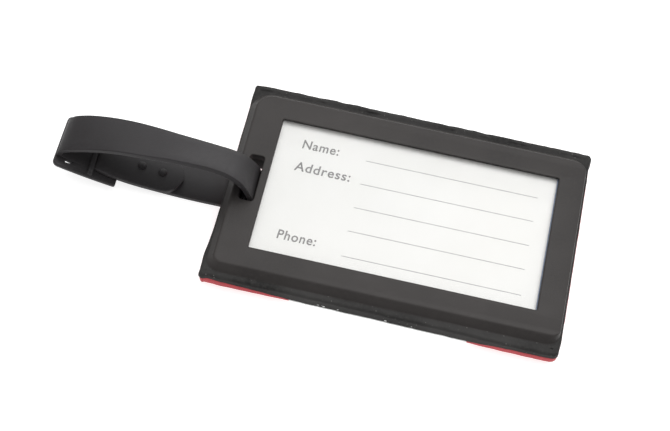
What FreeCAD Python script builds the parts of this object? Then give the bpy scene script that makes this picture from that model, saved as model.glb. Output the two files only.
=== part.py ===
"""Luggage tag: a soft moulded name tag with a windowed card frame and a looped strap.

The tag lies level with its card side up (+Z). X runs along the tag, with the strap at -X, and
Y runs across it. The origin is at the middle of the whole object's footprint, at the height of
the strap's lowest point. All sizes are in millimetres.
"""
import FreeCAD
import Part
import math
import os

V = FreeCAD.Vector
ACROSS = V(0, 1, 0)

# ---------------------------------------------------------------- driving dimensions
DIMS = {
    # the tag's layers, from the colour face below to the frame above
    "half_span": 77.15,          # half the whole object's length
    "plate_length": 103.6,
    "plate_width": 68.4,
    "colour_thick": 1.8,
    "plate_thick": 2.9,
    "frame_height": 2.35,
    "plate_corner": 0.8,
    "plate_round": 0.9,          # rounding of the plate's upper edge
    "band_share": 0.25,          # share of the length that each end band takes
    # the raised frame round the card window
    "frame_inset_left": 0.45,
    "frame_inset_right": 0.35,
    "frame_inset_side": 2.4,
    "frame_corner": 7.5,
    "shoulder_plan": 2.1,
    "shoulder_drop": 2.0,
    "window_length": 84.0,
    "window_width": 45.8,
    "window_right_bar": 8.35,    # from the window to the plate's right-hand end
    # film and card
    "lip_thick": 1.45,
    "film_thick": 0.25,
    "film_overlap": 1.3,
    "card_length": 88.2,
    "card_width": 51.0,
    "card_thick": 0.4,
    "card_lift": 0.05,
    "card_space": 0.65,          # height of the card's pocket
    "card_side_gap": 0.3,
    "card_left_overlap": 1.3,
    # strap slot
    "slot_length": 4.3,
    "slot_width": 15.8,
    "slot_to_window": 2.2,
    # strap
    "strap_thick": 1.6,
    "strap_width": 12.0,
    "strap_offset": -1.0,        # the strap lies towards one end of its slot
    "ring_radius": 5.3,          # centre line of the strap's bend round the tag's end bar
    "ring_end": 10.0,            # degrees above level where the bend stops
    "low_radius": 142.0,         # gentle curve of the lower run
    "low_straight": 5.2,
    "head_length": 18.6,
    "head_width": 17.4,
    "head_thick": 1.3,
    "head_corner": 1.6,
    "head_end_bar": 1.2,
    "keeper_from_end": 10.75,    # middle of the keeper bar, from the head's free end
    "keeper_width": 1.6,
    "keeper_thick": 1.25,
    "keeper_gap": 0.15,
    "slit_end_from_end": 16.5,
    "window_side_gap": 1.2,
    "tail_gap": 0.1,
    "tail_end": -39.7,
    "tail_corner": 5.2,
    "stud_first": -52.7,
    "stud_spacing": 6.3,
    "stud_neck": 1.2,
    "stud_head": 1.6,
    "stud_head_high": 0.6,
    "stud_hole": 1.5,
}

doc = FreeCAD.newDocument("luggage_tag")
sheet = doc.addObject("Spreadsheet::Sheet", "dims")
for row, (alias, value) in enumerate(DIMS.items(), start=1):
    sheet.set("A%d" % row, alias)
    sheet.set("B%d" % row, str(value))
    sheet.setAlias("B%d" % row, alias)

# Positions worked out from the driving dimensions, so that each is written once.
DERIVED = {
    "tag_underside": "=ring_radius + strap_thick / 2 - (colour_thick + plate_thick + frame_height) / 2",
    "plate_left": "=half_span - plate_length",
    "plate_bottom": "=tag_underside + colour_thick",
    "plate_top": "=plate_bottom + plate_thick",
    "frame_top": "=plate_top + frame_height",
    "window_right": "=half_span - window_right_bar",
    "window_left": "=window_right - window_length",
    "slot_right": "=window_left - slot_to_window",
    "slot_left": "=slot_right - slot_length",
    "film_bottom": "=frame_top - lip_thick - film_thick",
    "card_left": "=window_left - card_left_overlap",
    "bar_x": "=(plate_left + slot_left) / 2",
    "bar_z": "=(tag_underside + frame_top) / 2",
}
for row, (alias, formula) in enumerate(DERIVED.items(), start=len(DIMS) + 1):
    sheet.set("A%d" % row, alias)
    sheet.set("B%d" % row, formula)
    sheet.setAlias("B%d" % row, alias)
doc.recompute()


def dim(alias):
    """A cell's value, for the shapes that are worked out point by point."""
    return float(sheet.get(alias))


# ---------------------------------------------------------------- helpers for blocks
def words(text):
    """Put the sheet's name before each alias in a formula."""
    out = []
    for word in text.split():
        bare = word.strip("()-")
        known = bare in DIMS or bare in DERIVED
        out.append(word.replace(bare, "dims." + bare) if known else word)
    return " ".join(out)


def block(name, x_range, y_range, z_range):
    """A box between pairs of sheet formulas."""
    box = doc.addObject("Part::Box", name)
    sides = zip(("Length", "Width", "Height"), "xyz", (x_range, y_range, z_range))
    for side, axis, (low, high) in sides:
        box.setExpression(side, "(%s) - (%s)" % (words(high), words(low)))
        box.setExpression(".Placement.Base." + axis, words(low))
    return box


def cut(name, base, tools):
    """The base with every tool taken away."""
    for number, tool in enumerate(tools, start=1):
        step = doc.addObject("Part::Cut", "%s_cut_%d" % (name, number))
        step.Base = base
        step.Tool = tool
        base = step
    return base


def edges_where(feature, test):
    """Numbers of the feature's edges whose middle and direction pass a test."""
    doc.recompute()
    found = []
    for number, edge in enumerate(feature.Shape.Edges, start=1):
        middle = edge.valueAt((edge.FirstParameter + edge.LastParameter) / 2)
        if test(edge, middle):
            found.append(number)
    return found


def is_upright(edge, middle=None):
    ends = [vertex.Point for vertex in edge.Vertexes]
    return len(ends) == 2 and abs((ends[1] - ends[0]).normalize().z) > 0.99


def rounded(name, base, radius, test):
    """A fillet of one radius on the edges that pass the test."""
    fillet = doc.addObject("Part::Fillet", name)
    fillet.Base = base
    fillet.Edges = [(number, radius, radius) for number in edges_where(base, test)]
    return fillet


def centred(width):
    """A span of the given width about the tag's middle line."""
    return ("0 - %s / 2" % width, "%s / 2" % width)


def finish(name, feature):
    feature.Label = name
    parts.append(feature)


parts = []

# ---------------------------------------------------------------- colour face and plate
slot_span = (("slot_left", "slot_right"), centred("slot_width"))


def slot_cutter(name):
    return block(name, *slot_span, ("0", "frame_top + 1"))


band_joint_left = "plate_left + plate_length * band_share"
band_joint_right = "half_span - plate_length * band_share"
colour_level = ("tag_underside", "plate_bottom")
bands = {
    "face_left_band": ("plate_left", band_joint_left),
    "face_centre_band": (band_joint_left, band_joint_right),
    "face_right_band": (band_joint_right, "half_span"),
}
for name, x_range in bands.items():
    band = block(name + "_block", x_range, centred("plate_width"), colour_level)
    if name != "face_centre_band":
        end_x = dim("plate_left") if name == "face_left_band" else dim("half_span")
        band = rounded(name + "_corners", band, dim("plate_corner"),
                       lambda edge, middle: is_upright(edge) and abs(middle.x - end_x) < 0.01)
    if name == "face_left_band":
        band = cut(name, band, [slot_cutter(name + "_slot")])
    finish(name, band)

plate = block("plate_block", ("plate_left", "half_span"), centred("plate_width"),
              ("plate_bottom", "plate_top"))
plate = rounded("plate_corners", plate, dim("plate_corner"), is_upright)
plate = rounded("plate_rim", plate, dim("plate_round"),
                lambda edge, middle: middle.z > dim("plate_top") - 0.01)
finish("back_plate", cut("plate", plate, [slot_cutter("plate_slot")]))

# ---------------------------------------------------------------- card frame
frame = block("frame_block",
              ("plate_left + frame_inset_left", "half_span - frame_inset_right"),
              ("0 - plate_width / 2 + frame_inset_side", "plate_width / 2 - frame_inset_side"),
              ("plate_top", "frame_top"))
frame = rounded("frame_corners", frame, dim("frame_corner"), is_upright)
shoulder = doc.addObject("Part::Chamfer", "frame_shoulder")
shoulder.Base = frame
shoulder.Edges = [(number, dim("shoulder_drop"), dim("shoulder_plan")) for number in
                  edges_where(frame, lambda edge, middle: middle.z > dim("frame_top") - 0.01)]
window_cut = block("window_cut", ("window_left", "window_right"), centred("window_width"),
                   ("plate_top - 1", "frame_top + 1"))
film_rebate = block("film_rebate",
                    ("window_left - film_overlap", "window_right + film_overlap"),
                    ("0 - window_width / 2 - film_overlap", "window_width / 2 + film_overlap"),
                    ("plate_top - 1", "film_bottom + film_thick"))
card_pocket = block("card_pocket", ("card_left - card_side_gap / 3", "half_span + 1"),
                    ("0 - card_width / 2 - card_side_gap", "card_width / 2 + card_side_gap"),
                    ("plate_top - 1", "plate_top + card_space"))
frame_slot = slot_cutter("frame_slot")
finish("card_frame", cut("frame", shoulder, [window_cut, film_rebate, card_pocket, frame_slot]))

# ---------------------------------------------------------------- film and card
film = block("film_block", ("window_left - film_overlap", "window_right + film_overlap"),
             ("0 - window_width / 2 - film_overlap", "window_width / 2 + film_overlap"),
             ("film_bottom", "film_bottom + film_thick"))
finish("window_film", film)
card = block("card_block", ("card_left", "card_left + card_length"), centred("card_width"),
             ("plate_top + card_lift", "plate_top + card_lift + card_thick"))
finish("address_card", card)

# ---------------------------------------------------------------- strap
# The lower run and the head follow one gentle arc about low_centre. A place on it is given by
# its radius and its angle from straight down, so the head, the keeper bar, the studs and the
# tail all follow the same curve.
thick = dim("strap_thick")
low_radius = dim("low_radius")
low_start_x = dim("bar_x") - dim("low_straight")
low_run_z = dim("bar_z") - dim("ring_radius")
low_centre = V(low_start_x, 0, low_run_z + low_radius)
head_top = low_radius + thick / 2 - dim("head_thick")
tail_radius = low_radius - thick - dim("tail_gap")
keeper_top = tail_radius - thick / 2 + 0.5
keeper_under = keeper_top + dim("keeper_thick")
passage_radius = keeper_under + dim("keeper_gap") + thick / 2


def angle_at(x, radius=low_radius):
    return math.asin((low_start_x - x) / radius)


def on_arc(radius, angle):
    return low_centre + V(-radius * math.sin(angle), 0, -radius * math.cos(angle))


def along_tangent(radius, angle, distance):
    """A point on the tangent at an angle, the distance being towards the tag."""
    return on_arc(radius, angle) + V(math.cos(angle), 0, -math.sin(angle)) * distance


def arc_corner(radius, first, last):
    """Where the tangents at two angles of an arc meet."""
    return on_arc(radius / math.cos((last - first) / 2), (first + last) / 2)


def strip(points):
    """Edges of a constant-thickness strip along a route of (point, radius) corners."""
    sides = {thick / 2: [], -thick / 2: []}
    ends = []
    start = points[0][0]
    for index in range(1, len(points)):
        corner, radius = points[index]
        before = (corner - points[index - 1][0]).normalize()
        if index == len(points) - 1:
            stop = corner
        else:
            after = (points[index + 1][0] - corner).normalize()
            turn = before.getAngle(after)
            reach = radius * math.tan(turn / 2)
            stop = corner - before * reach
        if (stop - start).dot(before) < -1e-6:
            raise RuntimeError("the bends on either side of corner %d overlap" % index)
        normal = V(-before.z, 0, before.x)
        if not ends:
            ends.append((start, normal))
        for offset, edges in sides.items():
            if (stop - start).Length > 1e-6:
                edges.append(Part.makeLine(start + normal * offset, stop + normal * offset))
        if index == len(points) - 1:
            ends.append((stop, normal))
            break
        leave = corner + after * reach
        bend = 1 if before.cross(after).y < 0 else -1
        centre = stop + normal * (radius * bend)
        half = (corner - centre).normalize()
        normal_after = V(-after.z, 0, after.x)
        for offset, edges in sides.items():
            size = radius - offset * bend
            edges.append(Part.Arc(stop + normal * offset, centre + half * size,
                                  leave + normal_after * offset).toShape())
        start = leave
    for point, normal in ends:
        sides[thick / 2].append(Part.makeLine(point + normal * (thick / 2),
                                              point - normal * (thick / 2)))
    return Part.Wire(Part.__sortEdges__(sides[thick / 2] + sides[-thick / 2]))


def across(name, wire, width):
    """A profile in the XZ plane, extruded to a width about the strap's middle line."""
    profile = doc.addObject("Part::Feature", name + "_profile")
    profile.Shape = wire
    solid = doc.addObject("Part::Extrusion", name)
    solid.Base = profile
    solid.DirMode = "Custom"
    solid.Dir = ACROSS
    solid.Solid = True
    solid.setExpression("LengthFwd", "dims.%s / 2 + dims.strap_offset" % width)
    solid.setExpression("LengthRev", "dims.%s / 2 - dims.strap_offset" % width)
    return solid


def arc_slab(inner, outer, first, last):
    """A closed outline between two radii and two angles."""
    middle = (first + last) / 2
    return Part.Wire([
        Part.Arc(on_arc(inner, first), on_arc(inner, middle), on_arc(inner, last)).toShape(),
        Part.makeLine(on_arc(inner, last), on_arc(outer, last)),
        Part.Arc(on_arc(outer, last), on_arc(outer, middle), on_arc(outer, first)).toShape(),
        Part.makeLine(on_arc(outer, first), on_arc(inner, first)),
    ])


def plan_prism(name, x_low, x_high, half_width, corners):
    """An upright prism over the strap, with rounded corners of the given radii."""
    base_y = dim("strap_offset")
    box = Part.makeBox(x_high - x_low, 2 * half_width, 60, V(x_low, base_y - half_width, -20))
    for corner_x, radius in corners:
        edges = [edge for edge in box.Edges if is_upright(edge)
                 and abs(edge.Vertexes[0].X - corner_x) < 0.01]
        box = box.makeFillet(radius, edges)
    prism = doc.addObject("Part::Feature", name)
    prism.Shape = box
    return prism


def common(name, base, tool):
    both = doc.addObject("Part::Common", name)
    both.Base = base
    both.Tool = tool
    return both


def fused(name, shapes):
    union = doc.addObject("Part::MultiFuse", name)
    union.Shapes = shapes
    return union


head_left = -dim("half_span")
head_right = head_left + dim("head_length")
keeper_x = head_left + dim("keeper_from_end")
slit_right = head_left + dim("slit_end_from_end")
keeper_angle = angle_at(keeper_x, passage_radius)
tail_angle = angle_at(dim("tail_end"), tail_radius)
ramp_top_angle = angle_at(slit_right, tail_radius)
ring_angle = math.radians(dim("ring_end"))
ring_centre = V(dim("bar_x"), 0, dim("bar_z"))

# Route of the lower run, the bend through the slot, the upper run, the turn down into the head
# and the tail. Each entry is a corner and the radius that rounds it.
ring_exit = ring_centre + V(math.cos(ring_angle), 0, math.sin(ring_angle)) * dim("ring_radius")
rise = V(-math.sin(ring_angle), 0, math.cos(ring_angle))
ring_reach = dim("ring_radius") * math.tan((math.pi / 2 + ring_angle) / 2)
turn_x = head_left + 1.55
passage_entry = along_tangent(passage_radius, keeper_angle, 0)
entry_slope = math.tan(keeper_angle)
turn_low = V(turn_x, 0, passage_entry.z + (passage_entry.x - turn_x) * entry_slope)
head_start_angle = angle_at(slit_right)
route = [
    (on_arc(low_radius, head_start_angle), 0),
    (arc_corner(low_radius, 0, head_start_angle), low_radius),
    (V(ring_exit.x - rise.x * ring_reach, 0, low_run_z), dim("ring_radius")),
    (ring_exit + rise * 10.2, 4.0),
    (V(-47.2, 0, 18.2), 60),
    (V(-62.7, 0, 17.2), 40),
    (V(-72.7, 0, 14.2), 12),
    (V(turn_x, 0, 12.6), 2.6),
    (turn_low, 3.4),
    (along_tangent(passage_radius, keeper_angle, 1.8), 3.8),
    (along_tangent(tail_radius, ramp_top_angle, -1.4), 3.7),
    (arc_corner(tail_radius, tail_angle, ramp_top_angle), tail_radius),
    (on_arc(tail_radius, tail_angle), 0),
]
band = across("band", strip(route), "strap_width")

# The tail's end is round in plan. Only the tail is cut, so the cutter is a slab of its own.
tail_tip_angle = angle_at(dim("tail_end") - dim("strap_width") * 0.75, tail_radius)
tail_under = tail_radius + thick / 2 + dim("tail_gap") / 2
tip_slab = across("tip_slab", arc_slab(tail_radius - thick, tail_under, tail_angle - 0.01,
                                       tail_tip_angle), "head_width")
tip_round = plan_prism("tip_round", dim("tail_end") - dim("strap_width"), dim("tail_end"),
                       dim("strap_width") / 2, [(dim("tail_end"), dim("tail_corner"))])
tip_waste = doc.addObject("Part::Cut", "tip_waste")
tip_waste.Base = tip_slab
tip_waste.Tool = tip_round

head_slab = across("head_slab", arc_slab(head_top, low_radius + thick / 2,
                                         angle_at(head_right) - 0.02,
                                         angle_at(head_left) + 0.02), "head_width")
head_plan = plan_prism("head_plan", head_left, head_right, dim("head_width") / 2,
                       [(head_left, dim("head_corner")), (head_right, 0.5)])
opening_half = dim("strap_width") / 2 + dim("window_side_gap")
opening = plan_prism("head_opening", head_left + dim("head_end_bar"), slit_right, opening_half, [])
head = cut("head", common("head_outline", head_slab, head_plan), [opening])
keeper_half = dim("keeper_width") / 2
keeper_block = across("keeper_block", arc_slab(keeper_top, head_top + 0.3,
                                               angle_at(keeper_x + keeper_half),
                                               angle_at(keeper_x - keeper_half)), "head_width")
keeper_space = across("keeper_space", arc_slab(keeper_under, head_top + 2,
                                               angle_at(keeper_x + 4),
                                               angle_at(keeper_x - 4)), "head_width")
channel_plan = plan_prism("channel_plan", keeper_x - 5, keeper_x + 5, opening_half, [])
keeper = cut("keeper", keeper_block, [common("keeper_channel", keeper_space, channel_plan)])

holes = []
studs = []
for number in range(2):
    angle = angle_at(dim("stud_first") + number * dim("stud_spacing"))
    inward = (low_centre - on_arc(low_radius, angle)).normalize()
    foot = on_arc(low_radius, angle) + V(0, dim("strap_offset"), 0)
    cap_height = 1.5 * thick + dim("tail_gap") + 0.05
    hole_foot = foot + inward * (thick / 2 + 0.05)
    hole = Part.makeCylinder(dim("stud_hole"), thick * 1.4, hole_foot, inward)
    neck = Part.makeCylinder(dim("stud_neck"), cap_height + 0.3, foot, inward)
    cap = Part.makeCone(dim("stud_head"), dim("stud_head") * 0.55, dim("stud_head_high"),
                        foot + inward * cap_height, inward)
    for kind, shape, group in (("hole", hole, holes), ("stud", neck.fuse(cap), studs)):
        item = doc.addObject("Part::Feature", "%s_%d" % (kind, number + 1))
        item.Shape = shape
        group.append(item)

band = cut("band_trim", band, [tip_waste] + holes)
finish("strap", fused("strap_union", [band, head, keeper] + studs))

# ---------------------------------------------------------------- check and write
doc.recompute()
for item in doc.Objects:
    if "Invalid" in item.State or "Error" in item.State:
        raise RuntimeError("%s failed: %s" % (item.Name, item.State))
os.makedirs("parts", exist_ok=True)
for part in parts:
    shape = part.Shape
    if shape.isNull() or not shape.isValid():
        raise RuntimeError("%s has no valid shape" % part.Label)
    box = shape.BoundBox
    print("%-18s solids %d  volume %8.1f  x %7.2f %7.2f  y %7.2f %7.2f  z %6.2f %6.2f" % (
        part.Label, len(shape.Solids), shape.Volume, box.XMin, box.XMax, box.YMin, box.YMax,
        box.ZMin, box.ZMax))
    shape.exportStep("parts/%s.step" % part.Label)
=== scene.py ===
"""Luggage tag: the visual model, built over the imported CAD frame.

Sizes are in millimetres, in the CAD frame's axes, until make() and label() turn them into
metres. The floor and the lights are placed in metres.
"""
import math

import bpy
import numpy as np
from mathutils import Matrix, Vector, geometry, noise


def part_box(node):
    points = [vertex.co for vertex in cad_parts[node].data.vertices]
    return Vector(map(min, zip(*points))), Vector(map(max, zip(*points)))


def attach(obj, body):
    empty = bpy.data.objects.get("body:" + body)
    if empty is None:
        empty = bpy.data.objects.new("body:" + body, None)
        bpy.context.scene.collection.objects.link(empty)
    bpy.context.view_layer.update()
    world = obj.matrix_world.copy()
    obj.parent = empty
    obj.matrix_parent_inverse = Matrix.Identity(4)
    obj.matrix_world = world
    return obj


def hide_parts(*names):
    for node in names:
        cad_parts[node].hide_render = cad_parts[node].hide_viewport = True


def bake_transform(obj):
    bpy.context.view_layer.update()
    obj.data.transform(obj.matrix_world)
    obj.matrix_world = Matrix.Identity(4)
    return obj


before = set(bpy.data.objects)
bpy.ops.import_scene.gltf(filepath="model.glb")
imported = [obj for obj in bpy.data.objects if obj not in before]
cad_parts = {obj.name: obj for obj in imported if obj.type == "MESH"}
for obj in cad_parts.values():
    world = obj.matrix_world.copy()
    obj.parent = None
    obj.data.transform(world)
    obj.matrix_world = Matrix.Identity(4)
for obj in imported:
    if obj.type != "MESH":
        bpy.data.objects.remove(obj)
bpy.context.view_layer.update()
MM = 0.001                     # one millimetre in metres
MIX_FACTOR, MIX_FIRST, MIX_SECOND, MIX_RESULT = 0, 6, 7, 2     # colour sockets of a mix node


def clamp(share):
    """The share, held between none and all."""
    return max(0.0, min(1.0, share))


def onset(value, start, reach):
    """None at the start, rising evenly to all once the value is a reach beyond it."""
    return clamp((value - start) / reach)


def hump(value, centre, spread):
    """All at the centre, fading to none on both sides of it."""
    return math.exp(-((value - centre) / spread) ** 2)


def span(node):
    """A CAD node's lowest and highest corner, in millimetres."""
    low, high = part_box(node)
    return np.array(low) / MM, np.array(high) / MM


# ---------------------------------------------------------------- node materials
def new_material(name):
    material = bpy.data.materials.new(name)
    material.use_nodes = True
    tree = material.node_tree
    shader = next(node for node in tree.nodes if node.type == "BSDF_PRINCIPLED")
    return material, tree, shader


def add(tree, kind, **values):
    """A node, with each in_NAME setting its input of that name, and the rest its properties."""
    node = tree.nodes.new(kind)
    for key, value in values.items():
        if key.startswith("in_"):
            node.inputs[key[3:].replace("_", " ")].default_value = value
        else:
            setattr(node, key, value)
    return node


def noise_at(tree, scale, detail=3.0, rough=0.5, coords=None):
    """A noise texture's factor, in object space; scale is in features per metre."""
    if coords is None:
        coords = add(tree, "ShaderNodeTexCoord").outputs["Object"]
    node = add(tree, "ShaderNodeTexNoise", in_Scale=scale, in_Detail=detail, in_Roughness=rough)
    tree.links.new(coords, node.inputs["Vector"])
    return node.outputs["Fac"]


def ramp(tree, value, low, high, out_low=0.0, out_high=1.0):
    """The value, spread from low..high to out_low..out_high and held there."""
    node = add(tree, "ShaderNodeMapRange")
    for number, setting in enumerate((low, high, out_low, out_high), start=1):
        node.inputs[number].default_value = setting
    tree.links.new(value, node.inputs[0])
    return node.outputs[0]


def mix_colour(tree, fac, first, second):
    """Mix two colours by a socket's value; each colour may be a tuple or a socket."""
    node = add(tree, "ShaderNodeMix", data_type="RGBA")
    tree.links.new(fac, node.inputs[MIX_FACTOR])
    for index, value in ((MIX_FIRST, first), (MIX_SECOND, second)):
        if isinstance(value, bpy.types.NodeSocket):
            tree.links.new(value, node.inputs[index])
        else:
            node.inputs[index].default_value = (*value, 1.0)
    return node.outputs[MIX_RESULT]


def product(tree, first, second):
    """Two sockets' values, multiplied."""
    node = add(tree, "ShaderNodeMath", operation="MULTIPLY")
    tree.links.new(first, node.inputs[0])
    tree.links.new(second, node.inputs[1])
    return node.outputs[0]


def bump(tree, height, distance, strength, below=None):
    """A bumped normal, distance in metres; below is the normal that it is laid over."""
    node = add(tree, "ShaderNodeBump", in_Strength=strength, in_Distance=distance)
    tree.links.new(height, node.inputs["Height"])
    if below is not None:
        tree.links.new(below, node.inputs["Normal"])
    return node.outputs["Normal"]


def moulded(name, colour, light, rough=(0.42, 0.55), grain=0.00003, swell=0.00012, specks=None,
            gloss=0.2):
    """Soft moulded plastic: faint mottling, a fine pebble, a slow swell and trapped specks.

    rough is the least and the most roughness, grain and swell are bump heights in metres, and
    specks is (cells per metre, share of the cells left empty, colour).
    """
    material, tree, shader = new_material(name)
    coords = add(tree, "ShaderNodeTexCoord").outputs["Object"]
    slow = noise_at(tree, 55.0, 2.0, 0.5, coords)
    fine = noise_at(tree, 900.0, 4.0, 0.6, coords)
    pebble = noise_at(tree, 2600.0, 2.0, 0.5, coords)
    tone = mix_colour(tree, ramp(tree, slow, 0.35, 0.7), colour, light)
    tone = mix_colour(tree, ramp(tree, fine, 0.42, 0.7, 0.0, 0.6), tone, light)
    wear = ramp(tree, fine, 0.3, 0.7, rough[0], rough[1])
    surface = bump(tree, slow, swell, 0.6)
    surface = bump(tree, pebble, grain, 0.8, surface)
    if specks is not None:
        density, empty, speck_colour = specks
        cells = add(tree, "ShaderNodeTexVoronoi", in_Scale=density, in_Randomness=1.0)
        tree.links.new(coords, cells.inputs["Vector"])
        dot = ramp(tree, cells.outputs["Distance"], 0.10, 0.19, 1.0, 0.0)
        chosen = add(tree, "ShaderNodeSeparateColor")
        tree.links.new(cells.outputs["Color"], chosen.inputs[0])
        pick = ramp(tree, chosen.outputs[0], empty, empty + 0.15)
        patches = ramp(tree, noise_at(tree, 90.0, 1.0, 0.5, coords), 0.47, 0.56)
        mask = product(tree, product(tree, dot, pick), patches)
        tone = mix_colour(tree, mask, tone, speck_colour)
        surface = bump(tree, mask, 0.0001, 0.8, surface)
    tree.links.new(tone, shader.inputs["Base Color"])
    tree.links.new(wear, shader.inputs["Roughness"])
    tree.links.new(surface, shader.inputs["Normal"])
    shader.inputs["Specular IOR Level"].default_value = gloss
    return material


def clear_film(name, dark=(0.86, 0.90, 0.93), light=(0.95, 0.96, 0.96), alpha=0.10):
    """Clear sheet, slightly wavy and smeared; alpha is how much of it is seen."""
    material, tree, shader = new_material(name)
    slow = noise_at(tree, 28.0, 1.0)
    tree.links.new(bump(tree, slow, 0.0006, 0.4), shader.inputs["Normal"])
    smear = noise_at(tree, 160.0, 3.0)
    tree.links.new(ramp(tree, smear, 0.35, 0.75, 0.10, 0.24), shader.inputs["Roughness"])
    tone = mix_colour(tree, slow, dark, light)
    tree.links.new(tone, shader.inputs["Base Color"])
    shader.inputs["Alpha"].default_value = alpha
    return material


def card_stock(name):
    """Matt off-white card with a fibrous face."""
    material, tree, shader = new_material(name)
    coords = add(tree, "ShaderNodeTexCoord").outputs["Object"]
    fibres = noise_at(tree, 2200.0, 5.0, 0.7, coords)
    cloud = noise_at(tree, 45.0, 2.0, 0.5, coords)
    tone = mix_colour(tree, ramp(tree, cloud, 0.3, 0.7), (0.775, 0.765, 0.735),
                      (0.805, 0.795, 0.77))
    tone = mix_colour(tree, ramp(tree, fibres, 0.5, 0.9, 0.0, 0.3), tone, (0.74, 0.74, 0.72))
    tree.links.new(tone, shader.inputs["Base Color"])
    tree.links.new(ramp(tree, fibres, 0.3, 0.7, 0.70, 0.85), shader.inputs["Roughness"])
    tree.links.new(bump(tree, fibres, 0.00002, 0.5), shader.inputs["Normal"])
    return material


def ink(name, colour):
    """Printing ink that thins a little in places."""
    material, tree, shader = new_material(name)
    grain = noise_at(tree, 3000.0, 3.0, 0.6)
    pale = tuple(min(1.0, part * 1.35 + 0.03) for part in colour)
    tree.links.new(mix_colour(tree, ramp(tree, grain, 0.4, 0.75), colour, pale),
                   shader.inputs["Base Color"])
    tree.links.new(ramp(tree, grain, 0.3, 0.7, 0.55, 0.75), shader.inputs["Roughness"])
    return material


FRAME_BLACK = moulded("frame_black", (0.0325, 0.0297, 0.0288), (0.0435, 0.0395, 0.038),
                      grain=0.00004)
PLATE_BLACK = moulded("plate_black", (0.018, 0.0175, 0.0172), (0.050, 0.0485, 0.0475),
                      rough=(0.5, 0.65), grain=0.00012, swell=0.0005,
                      specks=(850.0, 0.62, (0.12, 0.117, 0.113)), gloss=0.1)
STRAP_BLACK = moulded("strap_black", (0.0282, 0.0263, 0.0275), (0.0343, 0.0322, 0.034))
RED = moulded("band_red", (0.42, 0.035, 0.045), (0.52, 0.06, 0.07))
WHITE = moulded("band_white", (0.80, 0.81, 0.80), (0.85, 0.86, 0.85))
FILM = clear_film("window_clear")
# Painted reflection: a dark bluish, mostly opaque tint laid along the film at the window's right
# edge.
PAINTED_FILM_REFLECTION = clear_film("window_edge_painted_reflection", (0.16, 0.22, 0.34), (0.24, 0.31, 0.44), alpha=0.7)
CARD = card_stock("card_stock")
INK = ink("label_ink", (0.090, 0.080, 0.074))
RULE_INK = ink("rule_ink", (0.245, 0.24, 0.24))


# ---------------------------------------------------------------- mesh helpers
def make(name, verts, faces, material, body, replaces=(), sharp=40.0):
    """A smooth-shaded mesh piece from millimetre points. With body None it is left unattached."""
    mesh = bpy.data.meshes.new(name)
    mesh.from_pydata([tuple(float(c) * MM for c in v) for v in verts], [], faces)
    mesh.validate()
    mesh.update()
    mesh.materials.append(material)
    mesh.shade_smooth()
    mesh.set_sharp_from_angle(angle=math.radians(sharp))
    piece = bpy.data.objects.new(name, mesh)
    bpy.context.scene.collection.objects.link(piece)
    if body is not None:
        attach(piece, body)
    if replaces:
        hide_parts(*replaces)
    return piece


OUTLINE_STEP = 1.3              # spacing of an outline's points


def outline(corners, step=OUTLINE_STEP):
    """(x, y, outward x, outward y) round a polygon of (x, y, radius) corners, anticlockwise."""
    count = len(corners)
    arcs = []
    for index, (x, y, radius) in enumerate(corners):
        here = Vector((x, y))
        before = (Vector(corners[index - 1][:2]) - here).normalized()
        after = (Vector(corners[(index + 1) % count][:2]) - here).normalized()
        half = before.angle(after) / 2
        centre = here + (before + after).normalized() * (radius / math.sin(half))
        sweep_angle = math.pi - 2 * half
        start = math.atan2(before.x, -before.y)
        steps = max(4, round(radius * sweep_angle / step * 2))
        arc = []
        for k in range(steps + 1):
            turn = start + sweep_angle * k / steps
            normal = Vector((math.cos(turn), math.sin(turn)))
            arc.append((centre + normal * radius, normal))
        arcs.append(arc)
    points = []
    for index, arc in enumerate(arcs):
        points.extend(arc)
        end, normal = arc[-1]
        following = arcs[(index + 1) % count][0][0]
        steps = max(1, round((following - end).length / step))
        points.extend((end.lerp(following, k / steps), normal) for k in range(1, steps))
    return [(p.x, p.y, n.x, n.y) for p, n in points]


def box_corners(x0, x1, y0, y1, radii):
    """A box's anticlockwise corners from the near left one; radii is one radius or four."""
    if not isinstance(radii, (tuple, list)):
        radii = [radii] * 4
    return [(x0, y0, radii[0]), (x1, y0, radii[1]), (x1, y1, radii[2]), (x0, y1, radii[3])]


def loops(line, profile, wave=None):
    """One closed loop for each (inset, z) of a profile; wave(x, y, z) adds to the outline."""
    out = []
    for inset, z in profile:
        ring = []
        for x, y, nx, ny in line:
            push = -inset + (wave(x, y, z) if wave else 0.0)
            ring.append((x + nx * push, y + ny * push, z))
        out.append(ring)
    return out


def rounding(z, radius, steps):
    """Profile points of a quarter round from the wall up to the level at z."""
    turns = [math.pi / 2 * k / steps for k in range(steps + 1)]
    return [(radius * (1 - math.cos(turn)), z - radius + radius * math.sin(turn))
            for turn in turns]


NO_AREA = 1e-9                  # a triangle smaller than this is left out


def slab(outer, holes=()):
    """Points and faces of a block: its loops from bottom to top, and each hole's the same way."""
    verts, faces, ends = [], [], []
    for stack, outward in [(outer, True)] + [(hole, False) for hole in holes]:
        count = len(stack[0])
        starts = []
        for ring in stack:
            starts.append(len(verts))
            verts.extend(ring)
        for low, high in zip(starts, starts[1:]):
            for i in range(count):
                j = (i + 1) % count
                quad = (low + i, low + j, high + j, high + i)
                faces.append(quad if outward else quad[::-1])
        ends.append((starts[0], starts[-1], count))
    for side, upward in ((0, False), (1, True)):
        rings = [[Vector(verts[end[side] + i]) for i in range(end[2])] for end in ends]
        index = [end[side] + i for end in ends for i in range(end[2])]
        for triangle in geometry.tessellate_polygon(rings):
            a, b, c = (index[k] for k in triangle)
            one, two, three = (Vector(verts[k]).to_2d() for k in (a, b, c))
            turn = (two - one).cross(three - one)
            if abs(turn) > NO_AREA:
                faces.append((a, b, c) if (turn > 0) == upward else (a, c, b))
    return verts, faces


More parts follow.
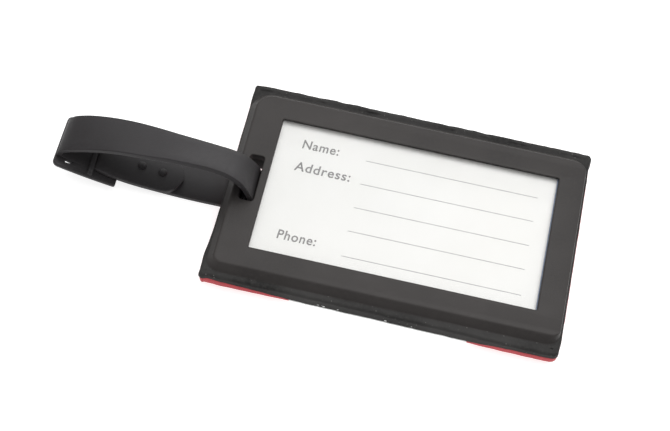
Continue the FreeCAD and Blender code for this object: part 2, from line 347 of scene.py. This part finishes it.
def section(half_width, half_thick, corner, steps=4, across=5):
    """A rounded rectangle as (wide, thin) offsets, anticlockwise."""
    corner = min(corner, half_width * 0.98, half_thick * 0.98)
    points = []
    for number, (sx, sy) in enumerate(((1, 1), (-1, 1), (-1, -1), (1, -1))):
        for k in range(steps + 1):
            turn = math.pi / 2 * (number + k / steps)
            points.append((sx * (half_width - corner) + corner * math.cos(turn),
                           sy * (half_thick - corner) + corner * math.sin(turn)))
        if number % 2 == 0:
            wide, thin = points[-1]
            points.extend((wide * (1 - 2 * k / across), thin) for k in range(1, across))
    return points


def sweep(stations):
    """Points and faces of a swept bar. A station is (centre, wide, thin, section)."""
    verts, faces = [], []
    count = len(stations[0][3])
    for centre, wide, thin, shape in stations:
        verts.extend(centre + wide * w + thin * t for w, t in shape)
    for index in range(len(stations) - 1):
        low = index * count
        for i in range(count):
            j = (i + 1) % count
            faces.append((low + i, low + j, low + count + j, low + count + i))
    faces.append(tuple(range(count))[::-1])
    faces.append(tuple(range(len(verts) - count, len(verts))))
    return verts, faces


def smooth_path(knots, step):
    """A smooth curve through the knots, sampled evenly.

    A knot's first three values are x, y, z. Any further ones are carried along with them.
    """
    knots = [np.array(knot, float) for knot in knots]
    gaps = [float(np.linalg.norm((b - a)[:3])) for a, b in zip(knots, knots[1:])]
    slopes = []
    for i, knot in enumerate(knots):
        if i == 0:
            slopes.append((knots[1] - knot) / gaps[0])
        elif i == len(knots) - 1:
            slopes.append((knot - knots[-2]) / gaps[-1])
        else:
            d0, d1 = gaps[i - 1], gaps[i]
            slopes.append(((knot - knots[i - 1]) / d0 * d1 + (knots[i + 1] - knot) / d1 * d0)
                          / (d0 + d1))
    out = []
    for i, gap in enumerate(gaps):
        steps = max(2, math.ceil(gap / step))
        for k in range(steps):
            t = k / steps
            h00, h10 = 2 * t ** 3 - 3 * t ** 2 + 1, t ** 3 - 2 * t ** 2 + t
            h01, h11 = 3 * t ** 2 - 2 * t ** 3, t ** 3 - t ** 2
            out.append(h00 * knots[i] + h10 * gap * slopes[i]
                       + h01 * knots[i + 1] + h11 * gap * slopes[i + 1])
    out.append(knots[-1])
    return out


# ---------------------------------------------------------------- the tag's layers
plate_low, plate_high = span("back_plate")
frame_low, frame_high = span("card_frame")
film_low, film_high = span("window_film")
card_low, card_high = span("address_card")
pocket_top = card_high[2] + 0.02        # the frame's hollow underside clears the card
card_top = card_high[2] - 0.05          # the card's drawn face, before its swell
under = span("face_left_band")[0][2]
band_joints = (span("face_left_band")[1][0], span("face_centre_band")[1][0])
FILM_LAP = 1.3                  # film beyond the window on each side
SLOT_GAP, SLOT_LENGTH, SLOT_HALF = 2.2, 4.3, 7.9     # from the window, along x, half along y
SLOT_RADIUS, COLLAR_RADIUS = 0.8, 1.3
COLLAR_WALL = 0.5
window = (film_low[0] + FILM_LAP, film_high[0] - FILM_LAP, film_low[1] + FILM_LAP,
          film_high[1] - FILM_LAP)
slot_right = window[0] - SLOT_GAP
slot = (slot_right - SLOT_LENGTH, slot_right, -SLOT_HALF, SLOT_HALF)
collar = (slot[0] - COLLAR_WALL, slot[1] + COLLAR_WALL,
          slot[2] - COLLAR_WALL, slot[3] + COLLAR_WALL)

# What the weld has left. The reaches and pushes are in millimetres beyond the plate's true edge,
# and each table is places and the values there.
EDGE_RAGGED, FAR_RAGGED, NEAR_RAGGED = 0.05, 0.13, 0.05
FAR_FLASH = 0.5
LEFT_BULGE, LEFT_BURR = 0.38, 0.42
RIGHT_PUSH, CORNER_PUSH = 0.2, 0.25
FACE_PUSH = 0.3
BEAD_HEIGHT, BEAD_LUMPS = 0.34, 0.2
NEAR_SHIFT = ((0.0, 0.04, 0.1, 0.24, 0.3, 0.5, 0.62, 0.75, 0.85, 1.0),
              (0.8, 0.48, 0.42, 0.58, 0.38, 0.2, 0.0, -0.2, -0.53, -0.6))
LEFT_SEAM = ((0.0, 0.5, 1.0), (1.3, 0.6, -0.7))
RIGHT_SEAM = ((0.0, 0.6, 1.0), (0.8, 0.6, -0.7))
FAR_SEAM = 0.35


def table(place, places_and_values):
    """The value at a place, read between the places given."""
    return float(np.interp(place, *places_and_values))


def ragged(x, y, z):
    """How far the welded edge stands out of its true line: most on the far side."""
    reach = EDGE_RAGGED + FAR_RAGGED * onset(y, 20, 12) + NEAR_RAGGED * onset(-y, 20, 12)
    wave = noise.noise(Vector((x * 0.23, y * 0.23, z * 0.04)))
    ripple = noise.noise(Vector((x * 0.8 + 7, y * 0.8, z * 0.1)))
    return reach * (wave * 1.2 + ripple * 0.7)


def edge_push(x, y):
    """The welded edge's slow departures: a far flash, and both ends and a corner drawn out."""
    along, up = x - plate_low[0], y - plate_low[1]
    far = FAR_FLASH * onset(y, 30, 3) * min(1.0, 0.2 + along / 6)
    left = 0.0
    if x < plate_low[0] + 1:
        left = LEFT_BULGE * hump(up, 0, 18) + LEFT_BURR * hump(up, 6.5, 5)
    right = RIGHT_PUSH if x > plate_high[0] - 1 and abs(y) < 30 else 0.0
    return far + left + right + CORNER_PUSH * hump(math.hypot(along, up), 0, 2.0)


def pinched(x, y, z):
    """Draw the near edge in at the left and let it out at the right, as the weld has left it."""
    along = (x - plate_low[0]) / (plate_high[0] - plate_low[0])
    return x, y + table(along, NEAR_SHIFT) * onset(-y, 29, 4), z


def end_push(x, y):
    """The colour face stands a little beyond the plate at the right-hand end."""
    return FACE_PUSH * onset(x, 76, 1) * onset(-abs(y), -30, 8)


def weld_bead(x, y):
    """The lumpy ridge that the weld leaves along the far edge."""
    lump = noise.noise(Vector((x * 0.35, y * 0.35, 5.0))) + noise.noise(Vector((x, y, 8.0))) * 0.6
    return (BEAD_HEIGHT + BEAD_LUMPS * lump) * onset(y, 29, 2) + 0.03 * lump


def seam(x, y):
    """Height of the seam between plate and colour face, above the plate's flat underside."""
    left = (x - plate_low[0]) / (band_joints[0] - plate_low[0])
    right = (plate_high[0] - x) / (plate_high[0] - band_joints[1])
    near = max(table(left, LEFT_SEAM), table(right, RIGHT_SEAM))
    share = onset(-y, 30, 3)
    return near * share + FAR_SEAM * (1 - share)


def hole_line(x0, x1, y0, y1, radius):
    """The outline of a hole whose four corners are alike."""
    return outline(box_corners(x0, x1, y0, y1, radius))


def hole_loops(line, low, high, lip):
    """A hole's wall with a rounded upper rim and a narrow flat beyond it."""
    profile = [(0.0, low), (0.0, (low + high) / 2)]
    profile += [(-inset, z) for inset, z in rounding(high, lip, 4)]
    profile.append((-lip - 0.3, high))
    return loops(line, profile)


def plate_piece():
    """The welded plate, and the collar that lines its slot down to the underside."""
    low, high = plate_low[2], plate_high[2]
    line = outline(box_corners(plate_low[0], plate_high[0], plate_low[1], plate_high[1],
                               (0.6, 1.7, 0.8, 0.7)))
    profile = [(1.6, low), (0.02, low), (-0.1, low + 0.07), (-0.03, low + 0.4), (0.0, low + 1.9)]
    profile += rounding(high, 0.95, 5)
    profile += [(1.2, high), (1.55, high), (2.0, high)]

    def wave(x, y, z):
        return ragged(x, y, z) + edge_push(x, y)

    rings = loops(line, profile, wave)
    for number in (1, 2, 3):
        rings[number] = [(x, y, z + seam(x, y)) for x, y, z in rings[number]]
    for number in range(-6, -1):
        rings[number] = [(x, y, z + weld_bead(x, y)) for x, y, z in rings[number]]
    slot_line = hole_line(*slot, SLOT_RADIUS)
    hole = hole_loops(slot_line, low, high, 0.15)
    verts, faces = slab(rings, [hole])
    verts = [pinched(*vert) for vert in verts]
    make("plate_shell", verts, faces, PLATE_BLACK, "tag", ["back_plate"])
    rim = [(0.06, under + 0.3), (0.12, under + 0.1), (0.25, under + 0.05)]
    outside = loops(hole_line(*collar, COLLAR_RADIUS), rim[::-1] + [(0.05, low + 0.2)])
    inside = loops(slot_line, [(0.0, under + 0.05), (0.0, low + 0.2)])
    verts, faces = slab(outside, [inside])
    make("plate_collar", verts, faces, PLATE_BLACK, "tag")


def band_piece(name, x0, x1, material, radii, with_slot=False):
    """One band of the colour face, straight where it meets the next one."""
    low, high = under, plate_low[2]
    line = outline(box_corners(x0, x1, plate_low[1], plate_high[1], radii))
    profile = [(1.2, low), (0.4, low), (0.16, low + 0.08), (0.04, low + 0.25), (0.0, low + 0.6),
               (0.0, high - 0.1), (0.0, high), (0.06, high + 0.08), (1.45, high)]
    rings = []
    for number, (inset, z) in enumerate(profile):
        rim = number in (len(profile) - 3, len(profile) - 2)
        ring = []
        for x, y, nx, ny in line:
            at_joint = min(abs(x - joint) for joint in band_joints) < 0.4
            push = -inset
            if at_joint:
                nx = 0.0
            else:
                push += ragged(x, y, 4.0) + edge_push(x, y) * 0.8 + end_push(x, y)
            rise = max(seam(x, y) - 0.1, 0.2) if rim else 0.0
            ring.append((x + nx * push, y + ny * push, z + rise))
        rings.append(ring)
    holes = []
    if with_slot:
        holes.append(hole_loops(hole_line(*collar, COLLAR_RADIUS), low, high, 0.1))
    verts, faces = slab(rings, holes)
    verts = [pinched(*vert) for vert in verts]
    make(name + "_shell", verts, faces, material, "tag", [name])


SET_BACK, LIP_REACH = 0.4, 0.45         # the window's far wall, at its foot and at its lip
SHOULDER_WIDTH, RIGHT_STEEPER = 1.50, 0.85
MOUTH_GAP, MOUTH_MARGIN = 1.0, 1.9      # beyond the card's right end and beyond its sides


def overhang(x, y, z):
    """Lean the window's far wall, so that the frame's lip hangs a little over the film."""
    if y < window[3] - 0.5:
        return x, y, z
    share = onset(z, film_high[2], frame_high[2] - film_high[2])
    return x, y + SET_BACK - (SET_BACK + LIP_REACH) * share, z


def mouth(x, y, z):
    """Lift the frame's right-hand end over the card, which slides out there."""
    share = clamp(x - card_high[0] - MOUTH_GAP) * clamp(card_high[1] + MOUTH_MARGIN - abs(y))
    share *= (frame_high[2] - z) / (frame_high[2] - frame_low[2])
    return x, y, z + share * (pocket_top - frame_low[2])


def frame_piece():
    """The raised frame. It stands on its foot and a rim round the slot, and is hollow between."""
    low, high = frame_low[2], frame_high[2]
    line = outline(box_corners(frame_low[0], frame_high[0], frame_low[1], frame_high[1],
                               (4.4, 4.0, 5.0, 6.6)), 1.5)
    foot = low + 0.02
    slope_low, slope_high = foot + 0.22, high - 0.42
    profile = [(0.6, pocket_top), (-0.10, foot), (0.04, foot + 0.08), (0.16, slope_low)]
    for k in range(1, 6):
        profile.append((0.16 + SHOULDER_WIDTH * k / 6,
                        slope_low + (slope_high - slope_low) * k / 6))
    profile += [(1.64, high - 0.40), (1.80, high - 0.22), (2.05, high - 0.06), (2.35, high),
                (2.7, high - 0.01), (3.05, high - 0.04)]

    hole_window = [[overhang(x, y, z) for x, y, z in ring]
                   for ring in hole_loops(hole_line(*window, 0.4), pocket_top, high, 0.35)]
    slot_line = hole_line(*slot, 0.9)
    hole_slot = loops(slot_line, [(-0.25, pocket_top), (-0.2, low)])
    hole_slot += hole_loops(slot_line, low, high, 0.35)
    rings = []
    for (inset, _), ring in zip(profile, loops(line, profile)):
        # The right-hand shoulder is steeper than the other three.
        edge, shift = frame_high[0] - inset, RIGHT_STEEPER * max(0.0, inset)
        rings.append([(x + shift * onset(x, edge - 4, 4), y, z) for x, y, z in ring])
    rings[1:] = [[mouth(x, y, z) for x, y, z in ring] for ring in rings[1:]]
    verts, faces = slab(rings, [hole_window, hole_slot])
    make("frame_shell", verts, faces, FRAME_BLACK, "tag", ["card_frame"])


SHEET_STEP = 3.0                # spacing of a sheet's points


def sheet_grid(x0, x1, y0, y1, low, high, lift):
    """A thin sheet with a gentle swell, as points and faces."""
    nx, ny = max(2, round((x1 - x0) / SHEET_STEP)), max(2, round((y1 - y0) / SHEET_STEP))
    verts, faces = [], []
    for z in (low, high):
        for j in range(ny + 1):
            for i in range(nx + 1):
                x, y = x0 + (x1 - x0) * i / nx, y0 + (y1 - y0) * j / ny
                verts.append((x, y, z + lift(x, y)))
    layer = (nx + 1) * (ny + 1)
    for j in range(ny):
        for i in range(nx):
            a = j * (nx + 1) + i
            quad = (a, a + 1, a + nx + 2, a + nx + 1)
            faces.append(quad[::-1])
            faces.append(tuple(k + layer for k in quad))
    rim = [j * (nx + 1) for j in range(ny, -1, -1)] + list(range(1, nx + 1))
    rim += [j * (nx + 1) + nx for j in range(1, ny + 1)]
    rim += [ny * (nx + 1) + i for i in range(nx - 1, 0, -1)]
    for k, a in enumerate(rim):
        b = rim[(k + 1) % len(rim)]
        faces.append((a, b, b + layer, a + layer))
    return verts, faces


def film_lift(x, y):
    """The film's slow waves."""
    return 0.05 * noise.noise(Vector((x * 0.06, y * 0.06, 3.0)))


def card_lift(x, y):
    """The card's slight bow."""
    return 0.03 * noise.noise(Vector((x * 0.03, y * 0.03, 9.0)))


def sheet_pieces():
    """The film, a dark bluish strip over it at the window's right edge that is a painted
    reflection, and the card.
    """
    verts, faces = sheet_grid(film_low[0], film_high[0], film_low[1], film_high[1], film_low[2],
                              film_high[2], film_lift)
    make("film_sheet", verts, faces, FILM, "tag", ["window_film"])
    inside, beyond = 0.3, 0.2
    strip = (window[1] - inside, window[1] + beyond, window[2], window[3])
    # A thin sheet just over the film along the window's right edge, carrying the painted
    # reflection tint.
    verts, faces = sheet_grid(*strip, film_high[2] + 0.06, film_high[2] + 0.16, film_lift)
    make("film_edge_painted_reflection", verts, faces, PAINTED_FILM_REFLECTION, "tag")
    verts, faces = sheet_grid(card_low[0], card_high[0], card_low[1], card_high[1], card_low[2],
                              card_top, card_lift)
    make("card_sheet", verts, faces, CARD, "card", ["address_card"])


plate_piece()
band_piece("face_left_band", plate_low[0], band_joints[0], RED,
           (1.1, 0.05, 0.05, 1.0), with_slot=True)
band_piece("face_centre_band", band_joints[0], band_joints[1], WHITE, 0.05)
band_piece("face_right_band", band_joints[1], plate_high[0], RED,
           (0.05, 2.0, 0.9, 0.05))
frame_piece()
sheet_pieces()


# ---------------------------------------------------------------- printing on the card
# Each rule is (left end, right end, y). The lifts keep the ink just off the card's face.
RULE_WIDTH, RULE_LIFT, WORD_LIFT = 0.26, 0.012, 0.014
CAP_HEIGHT = 0.73               # a capital's height in the font at size 1
RULES = [(11.7, 63.7, 15.25), (11.6, 63.5, 6.9), (11.5, 63.55, -1.5), (11.3, 63.5, -9.7),
         (11.2, 63.8, -18.3)]


def print_rules():
    """The printed rules, as one flat mesh whose lines vary a little in width."""
    verts, faces = [], []
    steps = 24
    for x0, x1, y in RULES:
        base = len(verts)
        for k in range(steps + 1):
            x = x0 + (x1 - x0) * k / steps
            z = card_top + card_lift(x, y) + RULE_LIFT
            half = RULE_WIDTH / 2 * (0.9 + 0.2 * noise.noise(Vector((x * 0.5, y, 0.0))))
            verts += [(x, y - half, z), (x, y + half, z)]
        for k in range(steps):
            a = base + 2 * k
            faces.append((a, a + 2, a + 3, a + 1))
    make("card_rules", verts, faces, RULE_INK, "card")


def label(name, words, x, y, width, height):
    """A printed word, its left end on the baseline at x, y; height is that of its capital."""
    curve = bpy.data.curves.new(name, "FONT")
    curve.body = words
    curve.size = 1.0
    curve.space_character = 1.12
    curve.offset = 0.015
    curve.shear = 0.06
    curve.materials.append(INK)
    piece = bpy.data.objects.new(name, curve)
    bpy.context.scene.collection.objects.link(piece)
    bpy.context.view_layer.update()
    corners = [Vector(corner) for corner in piece.bound_box]
    wide = max(c.x for c in corners) - min(c.x for c in corners)
    piece.scale = (width / wide * MM, height / CAP_HEIGHT * MM, MM)
    z = card_top + card_lift(x, y) + WORD_LIFT
    piece.location = Vector((x, y, z)) * MM
    bpy.context.view_layer.update()
    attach(piece, "card")


print_rules()
label("card_label_1", "Name:", -8.0, 14.95, 11.1, 3.2)
label("card_label_2", "Address:", -8.4, 6.85, 16.9, 3.25)
label("card_label_3", "Phone:", -8.4, -17.1, 11.45, 3.2)


# ---------------------------------------------------------------- strap
# The lower run lies on an arc whose centre is above it. The head and the studs follow that arc,
# and the tail lies on a smaller one, just over it.
BAR = ((plate_low[0] + slot[0]) / 2, (under + frame_high[2]) / 2)     # the end bar's x and z
RING = 5.3                      # from the bar's middle to the middle of the band round it
THICK = 1.6
WIDTH = 12.0
BAND_CORNER = 0.28              # radius of the band's long edges
TIP_HALF = 0.9                  # half the width left at the very end of the tail
LOW_X = BAR[0] - 5.2            # where the arc begins
LOW_Z = BAR[1] - RING           # its lowest height
LOW_RADIUS = 142.0
HEAD_RADIUS = LOW_RADIUS + THICK / 2
TAIL_RADIUS = LOW_RADIUS - THICK - 0.1
HEAD = (-77.15, -58.55)         # the head's ends along x
HEAD_Y = -1.0
KEEPER_X = HEAD[0] + 10.75
LEAN = ((-77.0, -53.0, -46.0, -36.0, -28.0), (-1.0, -1.05, -0.85, -0.72, -0.6))


def arc_point(radius, x):
    """The height of a place on the lower run's curve, and the direction towards its centre."""
    angle = math.asin((LOW_X - x) / radius) if x < LOW_X else 0.0
    return LOW_Z + LOW_RADIUS - radius * math.cos(angle), angle


def low_y(x):
    """The y of the lower run's middle: it drifts to the near side towards the head."""
    return table(x, LEAN)


def inward(angle):
    """The direction towards the arc's centre."""
    return Vector((math.sin(angle), 0, math.cos(angle)))


def heading(centres, index):
    """The direction of a path at one of its points."""
    ahead = centres[min(index + 1, len(centres) - 1)]
    behind = centres[max(index - 1, 0)]
    return (ahead - behind).normalized()


def band_knots():
    """(x, y, z, twist) along the band: lower run, slot, upper run, turn, tail."""
    knots = [(x, low_y(x), arc_point(LOW_RADIUS, x)[0], 0.0)
             for x in (-65.0, -60.4, -54.0, -47.0, -40.0, -34.0, LOW_X)]
    knots += [
        (-24.2, -0.65, 0.88, 0.0), (-22.2, -0.75, 1.1, 0.0), (-20.1, -0.9, 2.1, 0.0),
        (-18.7, -1.1, 3.7, 0.0), (-18.27, -1.3, 5.4, 0.0), (-18.42, -1.45, 7.5, 2.0),
        (-19.05, -1.6, 9.9, 5.0), (-20.35, -1.65, 12.3, 9.0), (-22.1, -1.7, 14.5, 14.0),
        (-24.2, -1.7, 16.1, 18.0), (-26.9, -1.65, 17.2, 21.0), (-30.6, -1.6, 17.8, 22.0),
        (-36.2, -1.5, 18.1, 20.0), (-42.2, -1.4, 18.25, 17.0), (-48.2, -1.3, 18.2, 11.0),
        (-54.2, -1.22, 18.1, 6.5), (-59.5, -1.12, 17.55, 3.0), (-65.0, -1.05, 16.4, -1.0),
        (-70.4, -1.0, 14.65, -3.5), (-74.0, -1.0, 12.85, -2.0), (-75.5, -1.0, 11.2, 0.0),
        (-75.6, -1.0, 9.9, 0.0), (-75.1, -1.0, 9.0, 0.0), (-74.2, -1.0, 8.35, 0.0),
        (-73.1, -1.0, 7.75, 0.0), (-72.0, -1.0, 7.25, 0.0), (-69.5, -0.98, 6.4, 0.0),
        (-66.6, -1.1, 5.6, 0.0), (-65.4, -1.2, 5.85, 0.0), (-64.3, -1.35, 6.75, 0.0),
        (-62.9, -1.6, 6.6, 0.0), (-60.4, -1.9, 5.95, 0.0),
    ]
    knots += [(x, low_y(x) - 1.0, arc_point(TAIL_RADIUS, x)[0], 0.0)
              for x in (-57.0, -52.0, -47.0, -43.0, -39.7)]
    return knots


def band_stations():
    """The band's cross-sections, turned by their twist and rounded off at the tail's tip."""
    path = smooth_path(band_knots(), 0.8)
    centres = [Vector(point[:3]) for point in path]
    lengths = [0.0]
    for a, b in zip(centres, centres[1:]):
        lengths.append(lengths[-1] + (b - a).length)
    stations = []
    for index, (point, centre) in enumerate(zip(path, centres)):
        run = heading(centres, index)
        side = Vector((0, 1, 0))
        side = (side - run * side.dot(run)).normalized()
        outward = side.cross(run)
        turn = math.radians(point[3])
        wide = side * math.cos(turn) - outward * math.sin(turn)
        thin = outward * math.cos(turn) + side * math.sin(turn)
        remaining = lengths[-1] - lengths[index]
        half = WIDTH / 2
        if remaining < half:
            half = max(TIP_HALF, math.sqrt(half ** 2 - (half - remaining) ** 2))
        stations.append((centre, wide, thin, section(half, THICK / 2, BAND_CORNER)))
    return stations


def bent(verts, radius_under):
    """Bend flat points (x, y, height above the lower face) onto the lower run's arc."""
    out = []
    for x, y, height in verts:
        angle = math.asin((LOW_X - x) / LOW_RADIUS)
        radius = radius_under - height
        out.append((LOW_X - radius * math.sin(angle), y,
                    LOW_Z + LOW_RADIUS - radius * math.cos(angle)))
    return out


def strap_band():
    """The band, from the tag's slot round to the head and the tail, bent between; its mesh
    belongs to no body.
    """
    verts, faces = sweep(band_stations())
    band = make("strap_band", verts, faces, STRAP_BLACK, None, ["strap"], 50.0)
    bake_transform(band)


def strap_head():
    """The thin frame that the tail passes through."""
    thick = 1.3
    half = 8.7
    step = 0.8
    line = outline(box_corners(HEAD[0], HEAD[1], HEAD_Y - half, HEAD_Y + half,
                               (1.6, 0.6, 0.6, 1.6)), step)
    inner = outline([(HEAD[0] + x, HEAD_Y + y, radius) for x, y, radius in (
        (3.2, -6.8, 0.15), (4.6, -6.6, 0.3), (5.9, -5.6, 0.4), (5.9, 7.2, 0.3),
        (3.2, 7.2, 0.3))], step)
    profile = [(0.25, 0.0), (0.07, 0.08), (0.0, 0.25), (0.0, thick - 0.3), (0.1, thick - 0.08),
               (0.3, thick), (0.5, thick)]
    hole = [(0.0, 0.0), (0.0, thick - 0.25), (-0.08, thick - 0.06), (-0.25, thick), (-0.4, thick)]
    verts, faces = slab(loops(line, profile), [loops(inner, hole)])
    verts = bent(verts, HEAD_RADIUS)
    make("strap_head", verts, faces, STRAP_BLACK, "strap", (), 50.0)


def strap_keeper():
    """The bar across the head that holds the tail down, a little askew."""
    bridge = TAIL_RADIUS - THICK / 2 + 1.0
    foot = HEAD_RADIUS - 0.9
    leg = (foot + bridge) / 2 + 0.1
    path = [(-7.9, foot), (-7.8, leg), (-7.2, bridge + 0.15), (-6.2, bridge),
            (0.0, bridge - 0.08), (6.2, bridge), (7.2, bridge + 0.15), (7.8, leg), (7.9, foot)]
    skew = 0.045
    _, angle = arc_point(LOW_RADIUS, KEEPER_X)
    along = Vector((math.cos(angle), 0, -math.sin(angle)))
    middle = Vector((LOW_X, 0, LOW_Z + LOW_RADIUS))
    points = smooth_path([(0, y, radius) for y, radius in path], 0.6)
    centres = [middle - inward(angle) * radius + Vector((0, HEAD_Y + y, 0))
               - along * (skew * (y + 7.5)) for _, y, radius in points]
    shape = section(0.8, 0.42, 0.3, 3, 2)
    verts, faces = sweep([(centre, along, along.cross(heading(centres, index)), shape)
                          for index, centre in enumerate(centres)])
    make("strap_keeper", verts, faces, STRAP_BLACK, "strap", (), 60.0)


def lathe(profile, centre, axis, steps=28):
    """A turned shape: profile is (radius, height) from its foot to its tip."""
    side = axis.orthogonal().normalized()
    other = axis.cross(side)
    verts, faces = [], []
    for radius, height in profile:
        for k in range(steps):
            turn = 2 * math.pi * k / steps
            verts.append(centre + axis * height
                         + (side * math.cos(turn) + other * math.sin(turn)) * radius)
    for low in range(len(profile) - 1):
        for i in range(steps):
            j = (i + 1) % steps
            a, b = low * steps, (low + 1) * steps
            faces.append((a + i, a + j, b + j, b + i))
    faces.append(tuple(range(steps))[::-1])
    faces.append(tuple(range(len(verts) - steps, len(verts))))
    return verts, faces


def strap_studs():
    """Two domed studs. Their stems pass through the tail, in which no holes are cut."""
    rise = THICK * 1.5 + 0.1        # the tail's upper face, above the lower run's middle
    profile = [(1.0, 0.5), (0.95, 0.7), (0.95, rise - 0.1), (1.1, rise), (1.28, rise + 0.08),
               (1.32, rise + 0.2), (1.2, rise + 0.38), (0.95, rise + 0.55),
               (0.62, rise + 0.67), (0.3, rise + 0.73), (0.08, rise + 0.75)]
    for number, (x, y) in enumerate(((-52.75, -1.5), (-46.35, -1.75)), start=1):
        z, angle = arc_point(LOW_RADIUS, x)
        verts, faces = lathe(profile, Vector((x, y, z)), inward(angle))
        make("strap_stud_%d" % number, verts, faces, STRAP_BLACK, "strap", (),
             50.0)


strap_band()
strap_head()
strap_keeper()
strap_studs()


# ---------------------------------------------------------------- stage, lights, camera
FLOOR_HALF = 3.0                # metres


def stage():
    """A white floor that glows a little, so that shadows stay light."""
    size = FLOOR_HALF
    mesh = bpy.data.meshes.new("floor")
    mesh.from_pydata([(-size, -size, 0), (size, -size, 0), (size, size, 0), (-size, size, 0)],
                     [], [(0, 1, 2, 3)])
    floor = bpy.data.objects.new("floor", mesh)
    bpy.context.scene.collection.objects.link(floor)
    material, tree, shader = new_material("floor_white")
    faint = noise_at(tree, 3.0, 2.0)
    tree.links.new(mix_colour(tree, faint, (0.52, 0.52, 0.52), (0.55, 0.55, 0.55)),
                   shader.inputs["Base Color"])
    shader.inputs["Roughness"].default_value = 0.9
    shader.inputs["Specular IOR Level"].default_value = 0.1
    shader.inputs["Emission Color"].default_value = (1.0, 1.0, 1.0, 1.0)
    shader.inputs["Emission Strength"].default_value = 0.8
    mesh.materials.append(material)


TAG_MIDDLE = (0.0, 0.0, 0.0)    # the frame's origin


def area_light(name, place, size, power, target=TAG_MIDDLE, colour=(1.0, 1.0, 1.0)):
    """A soft box at a place, turned towards its target; metres and watts."""
    data = bpy.data.lights.new(name, "AREA")
    data.shape = "RECTANGLE"
    data.size, data.size_y = size
    data.energy = power
    data.color = colour
    light = bpy.data.objects.new(name, data)
    light.location = place
    light.rotation_euler = (Vector(target) - Vector(place)).to_track_quat("-Z", "Y").to_euler()
    bpy.context.scene.collection.objects.link(light)


def lighting():
    """Even white surroundings, with soft boxes behind, above and at the left."""
    world = bpy.data.worlds.new("studio")
    bpy.context.scene.world = world
    world.use_nodes = True
    background = next(n for n in world.node_tree.nodes if n.type == "BACKGROUND")
    background.inputs["Color"].default_value = (1.0, 1.0, 1.0, 1.0)
    background.inputs["Strength"].default_value = 0.29
    area_light("back_softbox", (0.05, 0.65, 1.15), (2.0, 0.8), 11.2)
    area_light("rim_softbox", (0.1, 1.3, 0.3), (1.6, 0.25), 5.0)
    area_light("ceiling_softbox", (0.2, 0.02, 0.62), (0.6, 0.5), 2.4, target=(0.03, 0.0, 0.0))
    area_light("left_softbox", (-1.1, -0.5, 0.3), (0.5, 0.4), 1.2, target=(-0.05, 0.0, 0.0),
               colour=(1.0, 0.92, 0.90))


def camera():
    """A pinhole camera, fitted to the corners of the window and of the plate."""
    data = bpy.data.cameras.new("view")
    data.sensor_width = 36.0
    data.lens = 88.86
    data.clip_start = 0.01
    seen = bpy.data.objects.new("view", data)
    right = Vector((0.97567591, 0.2083306, 0.06822675))
    up = Vector((-0.21334397, 0.83081012, 0.51404173))
    back = Vector((0.05040715, -0.51609389, 0.85504749))
    place = Vector((30.946, -253.94, 409.58 + frame_high[2])) * MM
    turn = Matrix((right, up, back)).transposed().to_4x4()
    seen.matrix_world = Matrix.Translation(place) @ turn
    bpy.context.scene.collection.objects.link(seen)
    bpy.context.scene.camera = seen


stage()
lighting()
camera()
bpy.context.scene.view_settings.view_transform = "Standard"
